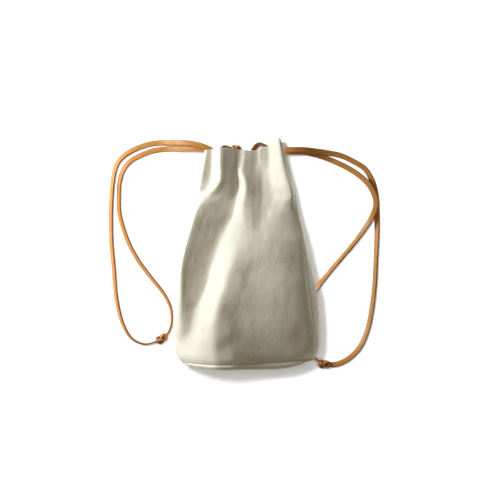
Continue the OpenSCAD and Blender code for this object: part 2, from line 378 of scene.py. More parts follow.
def waxed_thread():
    """Twisted off-white thread."""
    n = Nodes("waxed_thread")
    place = n.coordinates()
    wave = n.add("ShaderNodeTexWave", Scale=900.0, Distortion=1.5)
    n.link(place, wave.inputs["Vector"])
    tone = n.blend(wave.outputs["Fac"], (0.62, 0.58, 0.48), (0.84, 0.81, 0.72))
    return n.finish(tone, 0.6, n.bump(wave.outputs["Fac"], 0.0001, 0.6), Specular_IOR_Level=0.4)


def knot_painted_shade():
    """Painted shade for a knot: a dark core whose colour stands for the shade that shows between its strands.
    """
    n = Nodes("knot_painted_shade")
    place = n.coordinates()
    fibre = n.noise(place, 1100.0, 3.0)
    tone = n.blend(fibre, (0.07, 0.025, 0.008), (0.16, 0.065, 0.02))
    return n.finish(tone, 0.75, n.bump(fibre, 0.0002, 0.5), Specular_IOR_Level=0.2)


# ---- laces and knots

# Routes from the mouth to the knot, close to the CAD's: x, y and the height of the middle in mm, and the
# roll of the flat face in degrees.
LEFT_OUTER = [
    (-53, 174, 24, 0), (-66, 183, 25, 0), (-84, 190, 25, 0), (-106, 194, 21, 0), (-129, 195, 12, 0),
    (-150, 195, 5, 5), (-170, 193, 3, 10), (-190, 187, 3.5, 20), (-210, 177, 4.5, 30), (-225, 164, 5, 40),
    (-233, 147, 5, 45), (-237, 122, 5, 50), (-239, 95, 5, 50), (-240, 62, 5, 50), (-239, 20, 5, 50),
    (-235, -25, 5, 50), (-230, -80, 5, 55), (-219, -124, 5, 60), (-203, -150, 5, 70), (-180, -160, 5.5, 80),
    (-156, -154, 7.5, 90),
]
LEFT_INNER = [
    (-66, 183.5, 19, 0), (-90, 183.8, 19, 0), (-115, 184, 12, 0), (-140, 184, 4, 0), (-165, 181, 3, 10),
    (-187, 173, 3.5, 20), (-205, 163, 4.5, 30), (-217, 149, 5, 40), (-224, 128, 5, 50), (-226, 102, 5, 50),
    (-225, 72, 5, 50), (-218, 44, 5, 50), (-206, 13, 5, 50), (-190, -15, 5, 50), (-168, -44, 5, 55),
    (-147, -71, 5, 60), (-135, -96, 5, 70), (-133, -121, 5.5, 80), (-138, -138, 6.5, 90),
    (-145, -147, 7.5, 90),
]
RIGHT_OUTER = [
    (66, 182, 25, 0), (80, 182, 25, 0), (100, 182, 21, 0), (121, 180, 13, 0), (144, 177, 6.5, 0),
    (167, 172, 3.5, 5), (188, 162, 3, 15), (208, 149, 3, 15), (221, 127, 3, 15), (227, 104, 3, 15),
    (229, 75, 3, 15), (229, 35, 4.5, 35), (227, -10, 5, 50), (225, -52, 5, 48), (220, -97, 5, 42),
    (212, -135, 5, 34), (198, -166, 5, 28), (178, -186, 5, 24), (158, -195, 6, 24), (142, -196, 7.5, 30),
]
RIGHT_INNER = [
    (66, 179, 19, 0), (80, 178, 19, 0), (100, 178, 15, 0), (121, 174, 7, 0), (142, 167, 2.5, 0),
    (163, 158, 2.5, 5), (184, 147, 3.5, 15), (202, 134, 6, 15), (215, 120, 9, 15), (223, 106, 9.5, 15),
    (227, 89, 9.5, 15), (223, 72, 9.5, 15), (214, 54, 7, 30), (190, 20, 5, 50), (155, -21, 5, 50),
    (124, -60, 4.5, 40), (105, -92, 3, 15), (98, -130, 3, 25), (103, -168, 4.5, 68), (129, -193, 7.5, 80),
]

LACE_STEP = 1.6
FLOOR_CLEARANCE = 0.05
# Where the strands of a side come out of the mouth, in metres
LEFT_EXIT = (-0.076, 0.186, 0.024)
RIGHT_EXIT = (0.070, 0.180, 0.022)


def make_strand(name, node, route, body, material):
    """One free strand, from the side of the mouth to its knot."""
    dense = curve_through(route, LACE_STEP)
    centres = dense[:, :3]
    across, up = frames_along(centres, dense[:, 3])
    outline, edge = rounded_bar(LACE_WIDTH, LACE_THICKNESS, crown=0.12)
    heights = outline[None, :, :1] * across[:, None, 2:] + outline[None, :, 1:] * up[:, None, 2:]
    half_height = np.abs(heights).max(axis=(1, 2))
    centres[:, 2] = np.maximum(centres[:, 2], half_height + FLOOR_CLEARANCE)
    strand = sweep(name, centres, across, up, outline, edge, material)
    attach(strand, body)
    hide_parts(node)
    return strand


SIDE_KNOT = dict(length=21, diameter=15.2, lace_width=4.5, lace_thickness=1.9)
MOUTH_KNOT = dict(length=17, diameter=12.5, lace_width=4.6, lace_thickness=1.7)
LEFT_KNOT_TURN = 35
RIGHT_KNOT_TURN = -4


def circle(count):
    """Points of a circle of radius 1."""
    return [(math.cos(a), math.sin(a)) for a in np.linspace(0, 2 * math.pi, count, endpoint=False)]


def make_knot(name, centre, turn, material, painted_shade_material, length, diameter, lace_width, lace_thickness):
    """A woven barrel: a three-lead, four-bight knot whose strand goes over one and under one."""
    bights = 4
    leads = 3
    wave = 0.85
    steps_round = 520
    core_sides = 24
    core_steps = 13
    t = np.linspace(0, 2 * math.pi, steps_round, endpoint=False)
    radius = diameter / 2 - lace_thickness / 2 - wave
    reach = length / 2 - lace_width * 0.42
    share = np.cos(bights * t)
    bulge = 1 - 0.30 * share**4
    distance = (radius * bulge + wave * 1.155 * np.sin(2 * bights * t)) * (1 - 0.10 * share**8)
    angle = leads * t
    local = np.stack([reach * share, distance * np.cos(angle), distance * np.sin(angle)], axis=1)
    outward = unit(np.stack([0.75 * share**5, np.cos(angle), np.sin(angle)], axis=1))
    ahead = unit(np.roll(local, -1, axis=0) - np.roll(local, 1, axis=0))
    across = unit(np.cross(outward, ahead))
    up = np.cross(ahead, across)
    c, s = math.cos(math.radians(turn)), math.sin(math.radians(turn))
    turned = np.array([[c, s, 0], [-s, c, 0], [0, 0, 1]])
    outline, edge = rounded_bar(lace_width, lace_thickness, crown=0.25)
    centres = local @ turned + centre
    knot = sweep(name, centres, across @ turned, up @ turned, outline, edge, material, closed=True)
    # Painted shade: the core is a dark rod inside the strands, coloured to stand for the shade that shows
    # between them.
    core_outline = np.array(circle(core_sides)) * (radius - wave - lace_thickness * 0.15)
    steps = np.linspace(-1, 1, core_steps)
    core_centres = np.stack([steps * (reach + 0.3), 0 * steps, 0 * steps], axis=1)
    core_across = np.tile([0, 1.0, 0], (core_steps, 1)) @ turned
    core_up = np.tile([0, 0, 1.0], (core_steps, 1)) @ turned
    painted_shade_core = sweep(
        name + "_core", core_centres @ turned + centre, core_across, core_up,
        core_outline, np.ones(core_sides), painted_shade_material,
    )
    return knot, painted_shade_core


def make_straps(lace, knot_lace, painted_shade_core):
    """Both shoulder loops: two strands and a knot each. Each knot stands where the CAD's does."""
    straps = []
    for side, turn, routes, exit_point in (
        ("left", LEFT_KNOT_TURN, (LEFT_OUTER, LEFT_INNER), LEFT_EXIT),
        ("right", RIGHT_KNOT_TURN, (RIGHT_OUTER, RIGHT_INNER), RIGHT_EXIT),
    ):
        body = side + "_strap"
        low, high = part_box(side + "_knot")
        centre = np.array((low + high) / 2 / MM)
        # inside is the knot's painted-shade core, a dark rod for the shade between its strands.
        knot, inside = make_knot(side + "_woven_knot", centre, turn, knot_lace, painted_shade_core, **SIDE_KNOT)
        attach(knot, body)
        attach(inside, body)
        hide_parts(side + "_knot")
        for place, route in zip(("_outer", "_inner"), routes):
            name = side + place
            straps.append(make_strand(name + "_lace", name + "_strand", route, body, lace))
        straps += [knot, inside]
    return straps


# ---- the bag's surface

BASE_Y = -191
RIM_Y = 180
ROW_STEP = 2.3
COLUMN_STEP = 2.3
RIM_RAMP_FROM = 138
SMOOTH_PASSES = 3
SMOOTH_STRENGTH = 0.5

# The y of each point of the lines below, in mm: the folds, the left seam, the right edge
FOLD_ROWS = [
    -190, -184, -175, -155, -130, -105, -80, -55, -30, -5, 20, 45, 65, 85, 100, 115, 130, 145, 160, 176,
]
SEAM_ROWS = [-190, -184, -175, -160, -130, -80, -30, 20, 65, 100, 130, 160, 176]
EDGE_ROWS = [-190, -184, -175, -160, -130, -80, -40, -10, 20, 50, 65, 96, 128, 160, 176]

# Lines that run from the base seam to the rim along the crests and feet of the folds, in mm: a name, how
# far the rim stands beyond RIM_Y there, the x of each point and its z. They are in order round the bag, from
# the right seam over the front to the left seam.
FRONT_LINES = [
    ("right_seam", -5,
     [114.5, 117, 120, 120.5, 118, 113, 109.5, 106.5, 104, 102.5, 99, 94, 89.5, 86, 84, 80.3, 77, 73, 70.5,
      68.8],
     [48.5, 51.5, 56, 61.5, 67, 70, 71, 71, 68.5, 65, 60, 49, 43, 37, 35, 36, 31, 26, 22, 19]),
    ("right_shoulder", -1,
     [101, 103, 106, 108, 108, 105, 103, 101, 98, 96, 92, 87, 82, 82, 82, 78.5, 75, 71, 68.5, 67],
     [59, 62, 65.2, 69.5, 74.3, 76.8, 77.5, 77.5, 75, 72, 67, 54, 48.5, 43, 43.5, 44, 41, 37.5, 33.5, 29]),
    ("right_pleat_side", 9,
     [83, 86, 88, 89, 90, 88, 86, 84, 82, 80, 78, 74, 70, 76, 80.3, 77, 73.5, 69.5, 66.5, 62.5],
     [65, 68.2, 71, 75.5, 80, 83, 84, 84.3, 81.5, 78.5, 72.5, 60, 52.5, 46.8, 48.7, 50.5, 48, 45, 41,
      37.5]),
    ("right_pleat_crest", 22,
     [54, 56, 58, 61, 63, 63, 62, 60, 60, 60, 58, 58, 55, 66, 77, 74, 69.5, 65, 60.5, 56.5],
     [70.5, 73.6, 76.3, 80, 84.6, 87.4, 88.5, 88.9, 86.9, 84.3, 78, 63.8, 55.2, 47.8, 50, 51.5, 49, 45.8,
      42.5, 40]),
    ("right_pleat_face", 19.5,
     [38, 40, 43, 46, 47, 47, 48, 48, 48, 47, 47, 46, 44, 53, 60, 56, 54, 51, 49, 46],
     [73.5, 76.5, 79, 82.3, 86.3, 88.7, 90, 89.8, 88, 86.3, 80.2, 66, 54.9, 45.3, 44, 42.7, 40.8, 37.8,
      35.3, 33.5]),
    ("right_pleat_foot", 7,
     [22, 24, 26, 29, 30, 32, 34, 36, 36, 36, 36, 35, 34, 38, 43, 39, 38, 36, 36.5, 36],
     [77, 80, 82.3, 85, 88, 89.6, 91.2, 90.2, 88.5, 87.4, 81.8, 66.9, 53.4, 42.8, 37.8, 34.8, 31.3, 28.8,
      27.3, 26.8]),
    ("small_pleat_crest", 4.5,
     [6, 7, 8, 10, 11, 14, 18, 20, 22, 26, 26, 25, 26, 27, 31, 29, 28, 27, 25, 24],
     [82.3, 85, 87, 89, 91, 91.8, 93, 91.5, 88.7, 87.6, 82.2, 67.2, 54, 43.8, 37.5, 34.3, 30, 27.3, 26.8,
      27.3]),
    ("small_pleat_foot", 0.5,
     [-9, -9, -9, -10, -10, -8, -4, 2, 8, 15, 16, 15, 17, 17, 19, 18, 18, 18, 18, 18],
     [89, 91.3, 92.5, 95, 96, 96.3, 97, 95, 90, 88.2, 82.6, 69.3, 56.7, 47, 40.6, 37.8, 32.8, 28, 25.6,
      26]),
    ("middle_slope", -0.7,
     [-27, -28, -30, -32, -32, -31, -26, -16, -8, 1, 6, 8, 7, 5, 6, 5, 4, 2, 4, 4],
     [96.5, 99, 100, 102.3, 103, 102, 100.8, 98.2, 92.8, 89, 82.9, 71, 60.3, 51, 45.5, 43.3, 38.8, 33.3,
      29.6, 28.8]),
    ("main_ridge_crest", 0.5,
     [-48, -49, -50, -52, -54, -50, -43, -33, -26, -16, -7, -1, -4, -5, -2.8, -1.5, -4, -8.5, -6, -4],
     [99.5, 102, 103, 105, 105.5, 104.8, 102.5, 99, 94, 88.8, 82, 71.3, 61.4, 52.6, 47.8, 45.3, 41.8, 35.8,
      31.8, 29.8]),
    ("main_ridge_face", 0.5,
     [-72.5, -75.5, -77.5, -78, -77.5, -70.5, -63, -54.5, -47.3, -40.5, -32, -22.8, -14.8, -12.5, -8.5,
      -6.5, -8.5, -12, -9.5, -8],
     [89, 91.2, 90.8, 91, 90.2, 92.3, 91.8, 89, 84.3, 79.3, 74, 64.5, 57.5, 49.7, 45.3, 42.8, 39.6, 34.6,
      31, 29.3]),
    ("main_ridge_low", 0.5,
     [-84.8, -88, -91, -91.5, -90, -84, -75, -65, -58.3, -51, -43, -32, -22.3, -18.3, -14, -10.8, -12.5,
      -14.8, -12.5, -12],
     [81.5, 83.2, 81.5, 79.3, 78, 80, 80.6, 79, 75.3, 71.3, 66.5, 58.5, 52, 45.5, 41.2, 38.6, 36.4, 33.2,
      30.5, 29.3]),
    ("main_crease", 0.7,
     [-91.3, -96, -99, -100, -98, -93, -82.5, -72, -66, -58, -49.5, -38, -26, -21, -18, -15, -16, -17.5,
      -15.8, -16],
     [76, 77, 75, 72.5, 74.7, 77, 77.6, 76, 72.3, 68.8, 64.5, 56.5, 50, 43.5, 38, 35.2, 33, 32.6, 31,
      30.5]),
    ("left_valley_floor", 2,
     [-95.5, -100.5, -104, -104.5, -104, -102.5, -97, -91, -86, -79, -68, -58, -46, -40, -34, -27, -24,
      -23.5, -22, -22],
     [72, 72.5, 70.5, 68.5, 74.3, 78.3, 80.3, 79.3, 76.8, 73.3, 69.2, 62, 55.8, 48.6, 44, 41.8, 39.6, 37,
      34.4, 33.5]),
    ("left_valley_slope", 3.5,
     [-98.6, -104, -108, -109, -108.5, -107.5, -105, -103, -100, -94, -86, -77, -68, -62, -50, -40, -36,
      -34, -33, -33],
     [68.3, 68.5, 67, 65, 74, 79.3, 82.8, 82.7, 81.7, 78.3, 75, 69, 63, 55.8, 48.3, 46.3, 45.3, 41.8, 39.3,
      38]),
    ("left_ridge_crest", 4,
     [-101.8, -107.7, -112, -114, -113.5, -113, -113.3, -113.5, -113.3, -109.5, -103.5, -96, -90.3, -81.5,
      -66, -53.5, -46.6, -46.3, -47, -46.7],
     [64, 64.5, 63, 61, 72.5, 79.5, 85, 86.5, 86.5, 83.5, 80, 75.5, 70, 61, 50.5, 50.8, 49.5, 46.8, 44.8,
      42.3]),
    ("left_ridge_face", 4,
     [-105, -111.5, -116, -119.5, -120.5, -120.5, -120.2, -119.5, -117.8, -113, -107, -98.8, -92.8, -85,
      -75, -60, -52.5, -51.5, -52, -52.3],
     [59.3, 60, 58.5, 56.5, 66, 74, 79.5, 81, 80, 78, 75, 70.5, 65.5, 57.5, 47.3, 47.3, 44.5, 42, 40.5,
      38]),
    ("second_pleat", 3,
     [-107.6, -114.7, -119.3, -123, -124, -124.3, -123.8, -122.8, -120.2, -115, -108.8, -100.3, -94.3,
      -87.5, -79, -65.5, -59, -57.5, -57, -57.8],
     [54.5, 55.5, 54, 53, 60, 66, 70.5, 71.5, 70, 68.5, 66, 62.5, 58.5, 53, 45, 44.3, 40.5, 38.5, 37.5,
      34.6]),
    ("second_pleat_foot", 1,
     [-109.6, -117.2, -121.8, -125.2, -126, -126.2, -125.8, -124.5, -121.8, -116.8, -110.3, -101.8, -95.8,
      -89.8, -82, -71, -65, -63, -62, -62],
     [50, 51, 50, 50, 55, 58.5, 61.5, 62, 60, 58, 56, 54, 51, 47, 43.3, 42, 37, 35, 33.5, 32.5]),
    ("left_strip", 0.5,
     [-111, -119, -123.6, -126.5, -127.4, -127.4, -127.1, -125.8, -123, -118, -111.5, -103, -97, -91, -86.5,
      -82, -79.5, -77, -74.5, -71],
     [45.5, 46.5, 46.5, 47.5, 50, 52, 53.5, 53, 51, 49, 47, 45, 43, 41, 39, 42, 39.5, 38, 36, 34]),
    ("left_edge", 0,
     [-112, -120.2, -124.8, -127.5, -128.2, -128, -128, -126.8, -124, -119, -112.5, -104.5, -98.5, -93, -90,
      -87, -83.5, -81, -78, -75],
     [41, 42, 43, 44, 45, 46, 45, 44, 42, 40, 38, 35, 33, 32, 31, 30, 28, 26, 24, 22]),
]
LEFT_SEAM = (
    "left_seam", -3,
    [-108, -116, -121, -124, -124, -123, -120, -108.5, -96, -87, -81, -75.5, -73.5],
    [33, 31, 30, 31, 32, 31, 28, 25, 21, 20, 18.5, 16.5, 15],
)
RIGHT_EDGE = (
    "right_edge", -7,
    [116, 119, 123, 127, 127, 124, 116, 109.5, 103, 96.5, 93, 86.5, 79, 72.5, 70],
    [39, 41, 43, 44, 45, 46, 44, 40, 36, 32, 30, 27, 23, 18, 15.5],
)

# Lines under the bag, as shares: of the way from the middle to the edge, and of the edge's height
UNDERSIDE = [
    (-0.93, 0.30), (-0.78, 0.06), (-0.5, 0.0), (-0.2, 0.0), (0.15, 0.0), (0.45, 0.01), (0.62, 0.15),
    (0.78, 0.28), (0.94, 0.50),
]

# How far the base seam stands from BASE_Y, across the front
BASE_SEAM = [(-110, 1), (-85, 0.3), (-40, -0.8), (0, 0), (40, 1.5), (75, 3.5), (105, 6)]

# How far the leather stands off the floor where it lies on it
FLOOR_GAP = 0.15

# Soft dents and swells of the front: x, y, half width across, half length along, height, turn in degrees
SWELLS = [
    (1, -43, 17, 24, -1.8, 0),
    (-21, -106, 20, 24, -2.2, 10),
    (-34, -160, 22, 15, -2.6, 20),
    (93, -146, 15, 20, -2.4, -10),
    (40, -95, 26, 28, 1.2, 0),
]

# Fine ripples of the whole skin: height, how many to the millimetre round the bag and along it, and a shift
RIPPLES = [(0.5, 0.028, 0.012, 0), (0.22, 0.062, 0.040, 3), (0.10, 0.10, 0.035, 7)]

# The back's edge at the base seam hangs by this much in its middle
BACK_SAG = 9
BACK_HALF_WIDTH = 108

# The y from which the base seam pulls the walls out of their straight run
SEAM_PULL_FROM = -120


def line_rows(lines, ys, rows):
    """Places of the fold lines at each row: (rows, lines, 3), with the rim and the base shaped."""
    grid = np.zeros((len(rows), len(lines), 3))
    for k, (_, rise, xs, zs) in enumerate(lines):
        placed = monotone(ys, np.column_stack([xs, zs]), rows)
        ramp = np.clip((rows - RIM_RAMP_FROM) / (RIM_Y - RIM_RAMP_FROM), 0, 1) ** 1.4
        grid[:, k, 0] = placed[:, 0]
        grid[:, k, 1] = rows + rise * ramp
        grid[:, k, 2] = placed[:, 1]
    return grid


def underside_rows(left, right):
    """Lines under the bag between its left and right edge lines, each (rows, 3)."""
    lines = []
    for share, height in UNDERSIDE:
        edge = left if share < 0 else right
        line = edge.copy()
        line[:, 0] = edge[:, 0] * abs(share)
        line[:, 2] = edge[:, 2] * height
        lines.append(line)
    return np.stack(lines, axis=1)


def smooth(grid):
    """Evens the grid, which is closed round and open along."""
    for _ in range(SMOOTH_PASSES):
        side = (np.roll(grid, 1, axis=1) + np.roll(grid, -1, axis=1)) / 2
        along = grid.copy()
        along[1:-1] = (grid[:-2] + grid[2:]) / 2
        grid = grid + SMOOTH_STRENGTH * ((side + along) / 2 - grid)
    return grid


def grid_normals(grid):
    around = np.roll(grid, -1, axis=1) - np.roll(grid, 1, axis=1)
    along = np.gradient(grid, axis=0)
    return unit(np.cross(along, around))


def bag_surface():
    """The whole outer skin: grid (rows, columns, 3) from base to rim, and the column of the left seam."""
    rows = np.linspace(BASE_Y, RIM_Y, int((RIM_Y - BASE_Y) / ROW_STEP) + 1)
    front = line_rows(FRONT_LINES, FOLD_ROWS, rows)
    left_seam_line = line_rows([LEFT_SEAM], SEAM_ROWS, rows)
    right_edge = line_rows([RIGHT_EDGE], EDGE_ROWS, rows)
    under = underside_rows(front[:, -1], right_edge[:, 0])
    lines = np.concatenate([front, left_seam_line, under, right_edge], axis=1)
    count = lines.shape[1]
    closed = np.concatenate([lines[:, -3:], lines, lines[:, :4]], axis=1)
    gaps = np.linalg.norm(np.diff(closed, axis=1), axis=2)
    parts = np.maximum(2, np.ceil(gaps.max(axis=0) / COLUMN_STEP).astype(int))[3 : 3 + count]
    left_seam = int(parts[: len(FRONT_LINES)].sum())
    grid = np.zeros((len(rows), int(parts.sum()), 3))
    for r in range(len(rows)):
        chord = np.concatenate([[0], np.cumsum(gaps[r])])
        at = [
            chord[3 + k] + (chord[4 + k] - chord[3 + k]) * p / parts[k]
            for k in range(count)
            for p in range(parts[k])
        ]
        grid[r] = monotone(chord, closed[r], at)
    return smooth(grid), left_seam


def shape_skin(grid):
    """Adds the soft swells, fine ripples, the turned base edge and a flat underside."""
    normals = grid_normals(grid)
    up = np.clip((normals[..., 2] - 0.15) / 0.5, 0, 1)
    lift = np.zeros(grid.shape[:2])
    for x, y, half_x, half_y, height, turn in SWELLS:
        c, s = math.cos(math.radians(turn)), math.sin(math.radians(turn))
        dx = grid[..., 0] - x
        dy = grid[..., 1] - y
        across = (dx * c + dy * s) / half_x
        along = (dy * c - dx * s) / half_y
        lift += height * np.exp(-(across**2) - along**2) * up
    for r in range(grid.shape[0]):
        for k in range(grid.shape[1]):
            x, y, z = grid[r, k]
            lift[r, k] += sum(
                height * noise.noise(Vector((x * around + shift, y * along, z * around)))
                for height, around, along, shift in RIPPLES
            )
    grid = grid + normals * lift[..., None]
    low = np.clip(1 - grid[..., 2] / 60, 0, 1)
    near_base = np.clip((SEAM_PULL_FROM - grid[..., 1]) / (SEAM_PULL_FROM - BASE_Y), 0, 1)
    front_sag = np.interp(grid[..., 0], [x for x, _ in BASE_SEAM], [y for _, y in BASE_SEAM])
    back_sag = -BACK_SAG * (1 - np.minimum(np.abs(grid[..., 0]) / BACK_HALF_WIDTH, 1) ** 2.6)
    grid[..., 1] += (front_sag * (1 - low) + back_sag * low) * near_base**2
    grid[..., 2] = np.maximum(grid[..., 2], FLOOR_GAP)
    return grid


# ---- the bag's pieces

SEAM_GROOVE = 0.9
BASE_PLANE = -203.0
BASE_LEAN = 0.012
BASE_TURN_UP = 12.0
BASE_CENTRE = np.array([0.5, 0, 44.0])
# The base panel from its seam to its middle: the share of the way out from its centre, and the share of
# the way down from the seam to the flat of the base.
BASE_PROFILE = [
    (1.0, 0.0), (1.010, 0.08), (1.018, 0.20), (1.020, 0.36), (1.014, 0.52), (0.998, 0.67), (0.970, 0.79),
    (0.925, 0.88), (0.86, 0.94), (0.76, 0.97), (0.64, 0.99), (0.5, 1.0), (0.34, 1.0), (0.18, 1.0),
    (0.06, 1.0),
]
BOARD_PROFILE = [(0.90, 0.90), (0.84, 0.94), (0.76, 0.97), (0.64, 0.99), (0.5, 1.0), (0.34, 1.0), (0.06, 1.0)]
BOARD_THICKNESS = 1.6
WELT_WIDTH = 3.4
WELT_THICKNESS = 1.8
TAPE_GAP = 0.5
TAPE_THICKNESS = 1.4
STITCH_PITCH = 6.0
STITCH_LENGTH = 3.2
THREAD_RADIUS = 0.4
FINE_THREAD_RADIUS = 0.35


def groove(grid, normals, columns):
    """Presses a seam line into the surface along each of these columns."""
    for column in columns:
        for offset, share in ((0, 1.0), (-1, 0.35), (1, 0.35), (-2, -0.22), (2, -0.22)):
            place = (column + offset) % grid.shape[1]
            grid[:, place] -= normals[:, place] * SEAM_GROOVE * share
    return grid


def inner_surface(grid, normals, depth):
    """The surface this far under the skin, kept above the ground and evened where folds are tight."""
    inside = grid - normals * depth
    inside = grid + smooth(inside - grid)
    inside[..., 2] = np.maximum(inside[..., 2], depth)
    return inside


def lip(outer, inner, out_way):
    """Three rows that round the raw edge between the outer and the inner skin."""
    rows = []
    for angle in (45, 90, 135):
        share = (1 - math.cos(math.radians(angle))) / 2
        middle = outer * (1 - share) + inner * share
        rows.append(middle + out_way * (LEATHER / 2) * math.sin(math.radians(angle)))
    return rows


def shell_piece(name, outer, inner, outside, inside, rim_way=None):
    """A sheet with thickness from two grids of (rows, columns, 3). rim_way, if given, rounds its far edge."""
    rows, columns = outer.shape[:2]
    strips = [outer[r] for r in range(rows)]
    if rim_way is not None:
        strips += lip(outer[-1], inner[-1], rim_way)
    outer_count = len(strips)
    strips += [inner[r] for r in range(rows - 1, -1, -1)]
    points = np.concatenate(strips)
    total = len(strips)
    across = np.concatenate([[0], np.cumsum(np.linalg.norm(np.diff(outer[rows // 2], axis=0), axis=1))]) * MM
    faces = []
    uvs = []
    for r in range(total):
        after = (r + 1) % total
        low = r * ROW_STEP * MM
        high = low + ROW_STEP * MM
        for c in range(columns - 1):
            faces.append((r * columns + c, after * columns + c, after * columns + c + 1, r * columns + c + 1))
            uvs += [(across[c], low), (across[c], high), (across[c + 1], high), (across[c + 1], low)]
    for c, way in ((0, 1), (columns - 1, -1)):
        side = [r * columns + c for r in range(total)]
        for r in range(rows - 1):
            quad = (side[r], side[total - 1 - r], side[total - 2 - r], side[r + 1])
            faces.append(quad[::way])
            uvs += [(0, 0)] * 4
        if rim_way is not None:
            edge = side[rows - 1 : total - rows + 1]
            faces.append(tuple(edge[::-way]))
            uvs += [(0, 0)] * len(edge)
    piece = new_piece(name, points, faces, outside, uvs)
    piece.data.materials.append(inside)
    first_inner = outer_count * (columns - 1)
    marks = np.zeros(len(piece.data.polygons), np.int32)
    marks[first_inner : total * (columns - 1)] = 1
    piece.data.polygons.foreach_set("material_index", marks)
    return piece


def make_skins(grid, left_seam, cream, flesh):
    """The surface with its seams pressed in, and the front and back panels, which meet at the side seams."""
    grid = groove(grid, grid_normals(grid), (0, left_seam))
    normals = grid_normals(grid)
    inner = inner_surface(grid, normals, LEATHER)
    front_columns = list(range(0, left_seam + 1))
    back_columns = list(range(left_seam, grid.shape[1])) + [0]
    rim_way = unit(grid[-1] - grid[-3])
    pieces = []
    for name, columns in (("front_panel_skin", front_columns), ("back_panel_skin", back_columns)):
        pieces.append(shell_piece(name, grid[:, columns], inner[:, columns], cream, flesh, rim_way[columns]))
    return grid, pieces


def base_rows(ring, depth, profile):
    """Rings from the base seam to the middle of the base panel, at this depth inside its outer face."""
    rows = []
    for share, rise in profile:
        row = BASE_CENTRE + (ring - BASE_CENTRE) * (share - depth * 0.010)
        turn_up = BASE_TURN_UP * (np.abs(row[:, 0] + 4) / 106) ** 4.3
        plane = BASE_PLANE + BASE_LEAN * np.maximum(row[:, 2], 0) + turn_up
        row[:, 1] = ring[:, 1] - 0.4 + (plane - ring[:, 1]) * rise + depth
        row[:, 2] = np.maximum(row[:, 2], depth * 0.6)
        rows.append(row)
    return np.stack(rows)


def disc_piece(name, outer, inner, material):
    """A closed disc between two stacks of rings (rows, columns, 3) that run from its edge to its middle."""
    depth, count = outer.shape[:2]
    size = depth * count
    points = np.concatenate([outer.reshape(-1, 3), inner.reshape(-1, 3)])
    faces = []
    for r in range(depth - 1):
        for c in range(count):
            d = (c + 1) % count
            faces.append((r * count + c, (r + 1) * count + c, (r + 1) * count + d, r * count + d))
            low = size + r * count
            faces.append((low + c, low + d, low + count + d, low + count + c))
    last = (depth - 1) * count
    faces.append(tuple(last + c for c in range(count - 1, -1, -1)))
    faces.append(tuple(size + last + c for c in range(count)))
    for c in range(count):
        d = (c + 1) % count
        faces.append((c, d, size + d, size + c))
    corners = sum(len(face) for face in faces)
    return new_piece(name, points, faces, material, np.zeros((corners, 2)))


def make_base(grid, cream):
    """The base panel: a slightly domed disc, turned round at its edge where the seam pulls it in."""
    ring = grid[0]
    return disc_piece(
        "base_panel_skin", base_rows(ring, 0.0, BASE_PROFILE), base_rows(ring, LEATHER, BASE_PROFILE), cream)


def make_board(grid, board):
    """The stiffener that lies on the inside of the base panel."""
    ring = grid[0][::3]
    face = base_rows(ring, LEATHER + 0.4, BOARD_PROFILE)
    return disc_piece("base_stiffener", face, face + np.array([0, BOARD_THICKNESS, 0]), board)


def base_seam_line(grid, share, inside):
    """The closed line this share of the way out to the base seam, this far above it inside the bag."""
    ring = grid[2]
    line = BASE_CENTRE + (ring - BASE_CENTRE) * share
    line[:, 1] = ring[:, 1] + inside
    line[:, 2] = np.maximum(line[:, 2], 3.0)
    return line[::3]


def make_welt(grid, material):
    """The strip sewn into the base seam, just inside it."""
    around = base_seam_line(grid, 0.955, 1.5)
    inward = unit((BASE_CENTRE - around) * np.array([1, 0, 1]))
    outline, edge = rounded_bar(WELT_WIDTH, WELT_THICKNESS)
    along_y = np.tile([0, 1.0, 0], (len(around), 1))
    return sweep("base_welt_strip", around, inward, along_y, outline, edge, material, closed=True)


def stitches_along(line):
    """The two ends of each stitch along a line."""
    steps = np.linalg.norm(np.diff(line, axis=0), axis=1)
    run = np.concatenate([[0], np.cumsum(steps)])
    ends = []
    for start in np.arange(0, run[-1] - STITCH_LENGTH, STITCH_PITCH):
        both = (start, start + STITCH_LENGTH)
        ends.append([[np.interp(end, run, line[:, axis]) for axis in range(3)] for end in both])
    return np.array(ends)


def seam_tape(name, grid, column, flesh):
    """The strip that covers a side seam on the inside."""
    normals = grid_normals(grid)
    rows = slice(3, int((150 - BASE_Y) / ROW_STEP))
    columns = [(column + k) % grid.shape[1] for k in (3, 2, 1, 0, -1, -2, -3)][::-1]
    outer = inner_surface(grid, normals, LEATHER + TAPE_GAP)[rows][:, columns]
    inner = inner_surface(grid, normals, LEATHER + TAPE_GAP + TAPE_THICKNESS)[rows][:, columns]
    return shell_piece(name, outer, inner, flesh, flesh)


NECK_HALF_WIDTH = 62
FACING_THICKNESS = 1.4
# Each facing: its rows along y, and the (y, z) points of its section
FRONT_FACING_ROWS = [150, 152, 155, 160, 165, 170, 174, 176, 178]
FRONT_FACING_SECTION = [(150, 20.9), (178, 20.9)]
BACK_FACING_ROWS = [146, 149, 152, 156, 160, 163, 166, 168, 170]
BACK_FACING_SECTION = [(146, 3.8), (152, 7.6), (166, 7.6), (170, 3.8)]


def band(name, left, right, section, rows, sag, material):
    """A facing across the inside of the neck. Its ends hang by sag, or rise where sag is negative."""
    xs = np.linspace(right, left, 61)
    drop = sag * np.abs(xs / max(abs(left), abs(right))) ** 3
    outer = np.zeros((len(rows), len(xs), 3))
    outer[..., 0] = xs
    outer[..., 1] = np.array(rows)[:, None]
    outer[..., 2] = np.interp(rows, [y for y, _ in section], [z for _, z in section])[:, None] - drop
    inner = outer - np.array([0, 0, FACING_THICKNESS])
    return shell_piece(name, outer, inner, material, material)


